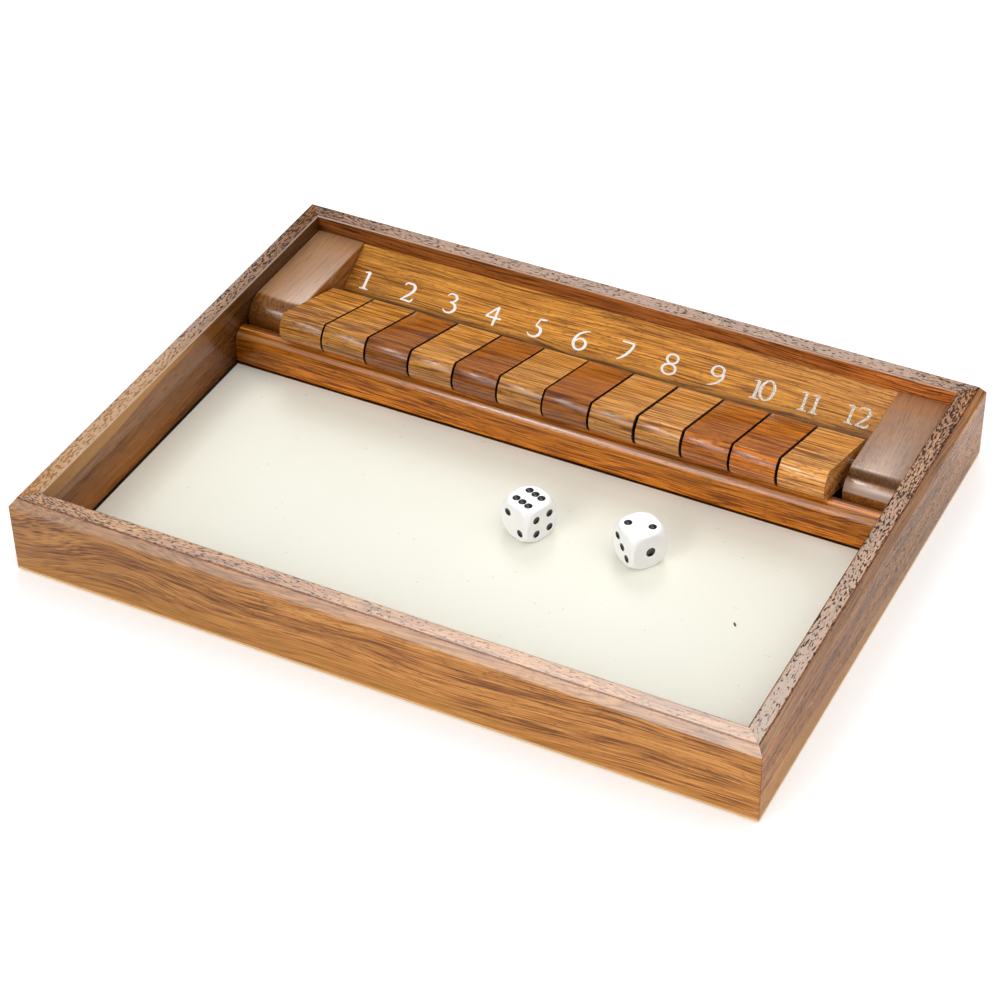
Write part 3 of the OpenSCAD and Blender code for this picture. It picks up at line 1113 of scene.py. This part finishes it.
STROKES = {
    "0": [ring_stroke(0.0, 5.6, 3.2, 4.9, 0.6, 0.35)],
    "1": [
        [(0, 0.3, 0.6), (0, 5, 0.5), (0, 9.4, 0.6)],
        [(-2.5, 8.9, 0.18), (-1.2, 9.0, 0.3), (0, 9.4, 0.35)],
        [(-2.2, 0.2, 0.2), (-1, 0.35, 0.3), (0, 0.6, 0.5), (1.2, 0.35, 0.3), (2.4, 0.2, 0.2)],
    ],
    "2": [
        [(-3.1, 8, 0.25), (-2.5, 9.2, 0.3), (-0.7, 9.4, 0.35), (1.3, 9.1, 0.45),
         (2.3, 7.6, 0.6), (2.1, 6, 0.6), (0.9, 4, 0.5), (-0.9, 2, 0.4), (-2.6, 0.35, 0.3)],
        [(-2.8, 0.35, 0.3), (0, 0.45, 0.38), (2.4, 0.4, 0.4), (2.9, 1, 0.35), (3.25, 2.2, 0.2)],
    ],
    "3": [
        [(-3, 8.8, 0.22), (-1.9, 9.9, 0.3), (-0.1, 10.1, 0.32), (1.5, 9.3, 0.5),
         (2, 7.9, 0.5), (0.9, 6.4, 0.35), (-0.7, 5.7, 0.22)],
        [(-0.5, 5.7, 0.22), (1.3, 5.4, 0.4), (2.7, 4.1, 0.55), (2.9, 2.7, 0.6),
         (2, 1.1, 0.5), (0.2, 0.3, 0.35), (-1.6, 0.55, 0.3), (-2.9, 1.6, 0.22)],
    ],
    "4": [
        [(1, 10.2, 0.35), (-3.9, 4.1, 0.35)],
        [(-3.9, 4.15, 0.35), (4.07, 4.2, 0.42)],
        [(1, 10.2, 0.45), (1.05, 5, 0.5), (1, 0.1, 0.5)],
    ],
    "5": [
        [(0.2, 9.8, 0.35), (2, 9.85, 0.42), (3.7, 10.1, 0.25)],
        [(0.35, 9.9, 0.3), (-0.9, 6.1, 0.25)],
        [(-0.9, 6.1, 0.25), (0.35, 5.9, 0.4), (1.8, 5.2, 0.5), (2.5, 3.7, 0.6),
         (2.15, 1.9, 0.55), (0.7, 0.6, 0.4), (-1.1, 0.45, 0.35), (-2.7, 0.85, 0.3),
         (-3.7, 1.8, 0.2)],
    ],
    "6": [
        [(3.1, 10.5, 0.15), (1.2, 9.95, 0.3), (-0.9, 8.7, 0.4), (-2.5, 6.8, 0.5),
         (-3.1, 4.4, 0.55), (-2.7, 2.3, 0.55), (-1.5, 0.7, 0.45), (0, 0.2, 0.38),
         (1.7, 0.7, 0.45), (3, 2.3, 0.55), (3, 4.1, 0.55), (1.8, 5.5, 0.42),
         (0, 5.9, 0.35), (-1.6, 5.2, 0.3), (-2.7, 3.7, 0.3)],
    ],
    "7": [
        [(-3.2, 10, 0.35), (2.9, 10, 0.38)],
        [(2.8, 9.9, 0.45), (2.5, 7.6, 0.5), (1.4, 5.1, 0.55), (-0.4, 2.6, 0.45),
         (-2.9, 0.5, 0.2)],
    ],
    "8": [ring_stroke(0.0, 8.33, 2.7, 2.4), ring_stroke(0.0, 2.97, 3.3, 2.6)],
    "9": [
        ring_stroke(-0.1, 8.3, 2.9, 2.6),
        [(3.1, 7.4, 0.5), (2.9, 4.9, 0.5), (1.3, 2.8, 0.4), (-0.9, 1.3, 0.3), (-3.2, 0.6, 0.15)],
    ],
}
print("strokes drawn for", len(STROKES), "digits")

# %% [markdown]
# The paint is worn: towards the high numbers it is thin, and the wood shows through it.

# %% Numeral paint
FRESH_PAINT = (0.93, 0.91, 0.87, 1.0)
WORN_PAINT = (0.48, 0.40, 0.30, 1.0)
WEAR_FROM_X = -20.0
WEAR_TO_X = 130.0
PATCH_EDGE = (0.36, 0.58)


def paint_skin(name):
    material, tree, skin = new_skin(name)
    place = millimetres(tree)
    thin = smooth_step(axes(place)["X"], WEAR_FROM_X, WEAR_TO_X)
    mottle = noise_at(place, (1.3, 1.3, 1.3), 3.0, 0.65)
    patchy = product(smooth_step(mottle, *PATCH_EDGE), thin)
    colour = blend_colour(patchy, FRESH_PAINT, WORN_PAINT)
    uneven = scaled(mottle, 0.3, 0.25)
    connect_skin(skin, colour, uneven, mottle, distance=0.00005)
    return material


numeral_paint = paint_skin("numeral_paint")
print("numeral paint nodes:", len(numeral_paint.node_tree.nodes))

# %% [markdown]
# The table says how far each numeral's foot is from the line where the board comes out
# from under the flaps, and where along the board the middles of its digits are. The
# curves become a mesh that is pressed flat and tilted onto the board, a thin domed film.

# %% Numerals
BOARD_SLOPE = math.radians(30.5)
BOARD_LINE = (103.9, 22.5)
PAINT_FLAT = 0.09
PEN_WEIGHT = 1.4
STROKE_STEPS = 6
NUMERALS = {
    1: (-5.5, -129.1), 2: (-5.5, -106.0), 3: (-5.5, -83.2), 4: (-5.5, -60.1),
    5: (-5.4, -37.4), 6: (-5.4, -14.4), 7: (-4.9, 8.6), 8: (-5.1, 31.6),
    9: (-4.8, 54.6), 10: (-4.7, 74.9, 79.9), 11: (-4.0, 98.2, 103.6),
    12: (-3.9, 120.7, 126.8),
}


def paint_numeral(number, foot, middles, material):
    bpy.ops.object.select_all(action="DESELECT")
    bpy.ops.curve.primitive_bezier_curve_add(location=(0.0, 0.0, 0.0))
    piece = bpy.context.object
    piece.name = f"numeral_{number:02d}"
    curve = piece.data
    curve.splines.clear()
    curve.dimensions = "3D"
    curve.resolution_u = STROKE_STEPS
    curve.bevel_depth = MM
    curve.bevel_resolution = 2
    curve.use_fill_caps = True
    for digit, middle in zip(str(number), middles):
        for stroke in STROKES[digit]:
            spline = curve.splines.new("BEZIER")
            spline.bezier_points.add(len(stroke) - 1)
            for point, (x, height, half_width) in zip(spline.bezier_points, stroke):
                point.co = ((middle + x) * MM, (foot + height) * MM, 0.0)
                point.radius = half_width * PEN_WEIGHT
                point.handle_left_type = "AUTO"
                point.handle_right_type = "AUTO"
    bpy.ops.object.convert(target="MESH")
    piece.scale = (1.0, 1.0, PAINT_FLAT)
    bpy.ops.object.transform_apply(location=False, rotation=False, scale=True)
    piece.rotation_euler = (BOARD_SLOPE, 0.0, 0.0)
    piece.location = (0.0, BOARD_LINE[0] * MM, BOARD_LINE[1] * MM)
    bpy.ops.object.transform_apply(location=True, rotation=True, scale=False)
    bpy.ops.object.shade_smooth_by_angle(angle=SMOOTH_ANGLE)
    piece.data.materials.clear()
    piece.data.materials.append(material)
    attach(piece, BOX_BODY)
    return piece


for number, (foot, *middles) in NUMERALS.items():
    numeral = paint_numeral(number, foot, middles, numeral_paint)
    print(numeral.name, "faces:", len(numeral.data.polygons))


# %% [markdown]
# Each die is a cube turned down by a ball. A Boolean keeps what lies inside both, a
# Remesh gives it an even skin, and a Smooth modifier softens the ridges between the two
# shapes. The pips are shallow bowls with black paint.

# %% Dice sizes
DIE_W = 18.0
DIE_BALL_R = 12.8
DIE_VOXEL = 0.35
DIE_SOFTEN = 30
DIE_SMOOTH_ANGLE = math.radians(40)
BALL_SEGMENTS = 96
PIP_PITCH = 3.85
PIP_R = 1.85
LONE_PIP_R = 2.3
PIP_DEPTH = 0.75
PIP_SEGMENTS = 32
FLOOR_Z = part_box("playing_surface")[1][2] / MM
DIE_GAP = 0.02
ONE_CORNER_PAIR = ((-1, 1), (1, -1))
OTHER_CORNER_PAIR = ((-1, -1), (1, 1))
MIDDLE = ((0, 0),)
SIDES = ((0, -1), (0, 1))
PIPS = {
    1: MIDDLE,
    2: ONE_CORNER_PAIR,
    3: ONE_CORNER_PAIR + MIDDLE,
    4: ONE_CORNER_PAIR + OTHER_CORNER_PAIR,
    5: ONE_CORNER_PAIR + OTHER_CORNER_PAIR + MIDDLE,
    6: ONE_CORNER_PAIR + OTHER_CORNER_PAIR + SIDES,
}
DICE = {
    "die_a": dict(place=(16.7, -13.35), turn=-21.5, faces=(6, 2, 4), top_turn=0),
    "die_b": dict(place=(67.95, -8.55), turn=-34.5, faces=(2, 3, 1), top_turn=90),
}
print("playing surface at", round(FLOOR_Z, 2), "mm")

# %% [markdown]
# Moulded plastic is barely uneven, so its gloss wavers a little. The same skin serves the
# white body and the black paint of the pips.

# %% Plastic skins
DIE_WHITE = (0.985, 0.99, 1.0)
PIP_BLACK = (0.004, 0.004, 0.004)
DUST_EDGE = (0.68, 0.8)


def plastic_skin(name, colour, roughness):
    material, tree, skin = new_skin(name)
    place = millimetres(tree)
    waver = noise_at(place, (0.35, 0.35, 0.35), 2.0)
    dust = smooth_step(noise_at(place, (2.5, 2.5, 2.5), 1.0), *DUST_EDGE)
    duller = scaled(dust, 0.2, roughness)
    uneven = scaled(waver, 0.1, duller)
    shade = scaled(waver, 0.04, 0.98)
    tinted = darken((*colour, 1.0), shade)
    connect_skin(skin, tinted, uneven, waver, distance=0.00003, strength=0.5)
    return material


die_plastic = plastic_skin("die_plastic", DIE_WHITE, 0.08)
pip_paint = plastic_skin("pip_paint", PIP_BLACK, 0.1)
pip_gloss = pip_paint.node_tree.nodes["Principled BSDF"].inputs
pip_gloss["Specular IOR Level"].default_value = 0.1
pip_gloss["Coat Weight"].default_value = 1.0
pip_gloss["Coat Roughness"].default_value = 0.03
print("plastic skins:", die_plastic.name, pip_paint.name)

# %% [markdown]
# The modifiers are applied one after another, and the cutting shape is thrown away.

# %% Die body
def apply_all(piece):
    pick(piece)
    for modifier in list(piece.modifiers):
        bpy.ops.object.modifier_apply(modifier=modifier.name)


def cut_with(piece, tool, operation):
    boolean = piece.modifiers.new("cut", "BOOLEAN")
    boolean.operation = operation
    boolean.object = tool
    boolean.solver = "EXACT"
    boolean.material_mode = "TRANSFER"
    apply_all(piece)
    bpy.data.objects.remove(tool)


def add_ball(radius, segments, rings, place=(0.0, 0.0, 0.0), turn=(0.0, 0.0, 0.0)):
    bpy.ops.object.select_all(action="DESELECT")
    bpy.ops.mesh.primitive_uv_sphere_add(
        segments=segments, ring_count=rings, radius=radius, location=place, rotation=turn,
    )
    return bpy.context.object


def mould_die():
    ball = add_ball(DIE_BALL_R * MM, BALL_SEGMENTS, BALL_SEGMENTS // 2)
    bpy.ops.object.select_all(action="DESELECT")
    bpy.ops.mesh.primitive_cube_add(size=DIE_W * MM, location=(0.0, 0.0, 0.0))
    body = bpy.context.object
    cut_with(body, ball, "INTERSECT")
    remesh = body.modifiers.new("even_skin", "REMESH")
    remesh.mode = "VOXEL"
    remesh.voxel_size = DIE_VOXEL * MM
    smooth = body.modifiers.new("soften", "SMOOTH")
    smooth.factor = 0.5
    smooth.iterations = DIE_SOFTEN
    apply_all(body)
    body.data.materials.clear()
    body.data.materials.append(die_plastic)
    return body


# %% [markdown]
# A pip is the cap of a ball that just dips into the face. The balls of all six faces are
# joined and cut out in one go, and the bowls take the black paint of the balls.

# %% Pips
def pip_balls(faces, top_turn):
    """Faces are the numbers on the top, front and right; opposite faces make seven."""
    top, front, right = faces
    turns = (
        (top, (0, 0, top_turn)), (7 - top, (180, 0, 0)), (front, (90, 0, 0)),
        (7 - front, (-90, 0, 0)), (right, (90, 0, 90)), (7 - right, (90, 0, -90)),
    )
    balls = []
    for number, angles in turns:
        turn = Euler([math.radians(a) for a in angles])
        pip_r = LONE_PIP_R if number == 1 else PIP_R
        ball_r = (pip_r ** 2 + PIP_DEPTH ** 2) / (2 * PIP_DEPTH)
        for column, row in PIPS[number]:
            place = Vector((
                column * PIP_PITCH, row * PIP_PITCH, DIE_W / 2 - PIP_DEPTH + ball_r,
            )) * MM
            place.rotate(turn)
            balls.append(add_ball(ball_r * MM, PIP_SEGMENTS, PIP_SEGMENTS, place, turn))
    bpy.ops.object.select_all(action="DESELECT")
    for ball in balls:
        ball.select_set(True)
    bpy.context.view_layer.objects.active = balls[0]
    bpy.ops.object.join()
    joined = bpy.context.object
    joined.data.materials.append(pip_paint)
    return joined


# %% [markdown]
# The dice lie where they fell, each turned its own way, a hair above the sheet.

# %% Dice
for node, die in DICE.items():
    body = mould_die()
    cut_with(body, pip_balls(die["faces"], die["top_turn"]), "DIFFERENCE")
    body.name = f"moulded_{node}"
    body.rotation_euler = (0.0, 0.0, math.radians(die["turn"]))
    body.location = Vector((*die["place"], FLOOR_Z + DIE_GAP + DIE_W / 2)) * MM
    bpy.ops.object.transform_apply(location=True, rotation=True, scale=False)
    bpy.ops.object.shade_smooth_by_angle(angle=DIE_SMOOTH_ANGLE)
    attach(body, f"{node}_body")
    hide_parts(node)
    print(body.name, "faces:", len(body.data.polygons), "skins:", len(body.data.materials))


# %% [markdown]
# The rod and the base panel keep their plain shapes. The rod is drawn steel with fine
# lines along it, and the panel is pressed board with short fibres in it, made near
# black as painted shade for the gaps beside the sheet.

# %% Rod and base panel
FIBRE_MIX = 0.7
PALE_EDGE = (0.35, 0.65)
# Painted shade: the panel is made near black for the gaps beside the sheet.
PANEL_SHADE_DARK = (0.045, 0.024, 0.012, 1.0)
PANEL_SHADE_PALE = (0.11, 0.066, 0.036, 1.0)


def drawn_steel_skin(name):
    material, tree, skin = new_skin(name)
    lines = noise_at(millimetres(tree), (0.05, 6.0, 6.0), 2.0)
    shade = scaled(lines, 0.3, 0.42)
    tree.links.new(grey(shade), skin.inputs["Base Color"])
    tree.links.new(scaled(lines, 0.2, 0.22), skin.inputs["Roughness"])
    skin.inputs["Metallic"].default_value = 1.0
    return material


def pressed_board_skin(name):
    material, tree, skin = new_skin(name)
    place = millimetres(tree)
    fibres = noise_at(place, (0.9, 2.6, 1.0), 4.0, 0.7)
    clouds = noise_at(place, (0.03, 0.03, 0.03), 2.0)
    share = scaled(clouds, 0.3, product(fibres, FIBRE_MIX))
    colour = blend_colour(smooth_step(share, *PALE_EDGE), PANEL_SHADE_DARK, PANEL_SHADE_PALE)
    uneven = scaled(fibres, 0.2, 0.6)
    connect_skin(skin, colour, uneven, fibres, distance=0.0001, strength=0.6)
    return material


HIDDEN_SKINS = {
    "pivot_rod": drawn_steel_skin("drawn_steel"),
    "base_panel": pressed_board_skin("pressed_board"),
}
for node, skin in HIDDEN_SKINS.items():
    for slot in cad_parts[node].material_slots:
        slot.material = skin
    print(node, "skin:", skin.name)
